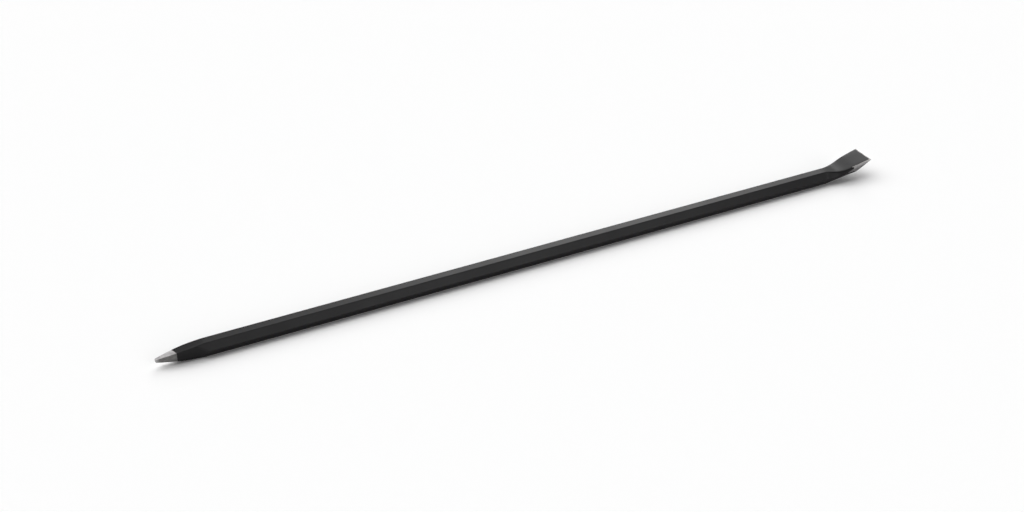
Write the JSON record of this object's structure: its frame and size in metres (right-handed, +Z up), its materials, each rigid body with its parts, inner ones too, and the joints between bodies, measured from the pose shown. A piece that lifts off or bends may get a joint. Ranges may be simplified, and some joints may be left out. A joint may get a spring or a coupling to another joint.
{
  "type": "digging bar",
  "caption": "Long hexagonal steel bar with a blunt square point at one end and a bent, flared chisel blade at the other, for breaking hard ground, prying stones and digging holes.",
  "frame": {"origin": "middle of the bar's length, on the surface that it lies on, under the axis of the shank", "axes": "+X along the bar from the point to the chisel, +Z up out of the flat that the chisel bends towards, +Y across the blade"},
  "size_m": [1.5, 0.0512, 0.0417],
  "materials": {
    "bar_steel": "hot rolled, hidden under the paint",
    "ground_steel": "ground bare at the working ends",
    "black_paint": "satin"
  },
  "bodies": {
    "root": {"hex_shank": "bar_steel", "point_end": "ground_steel", "chisel_end": "ground_steel", "shank_paint": "black_paint", "point_paint": "black_paint", "chisel_paint": "black_paint"}
  },
  "joints": []
}
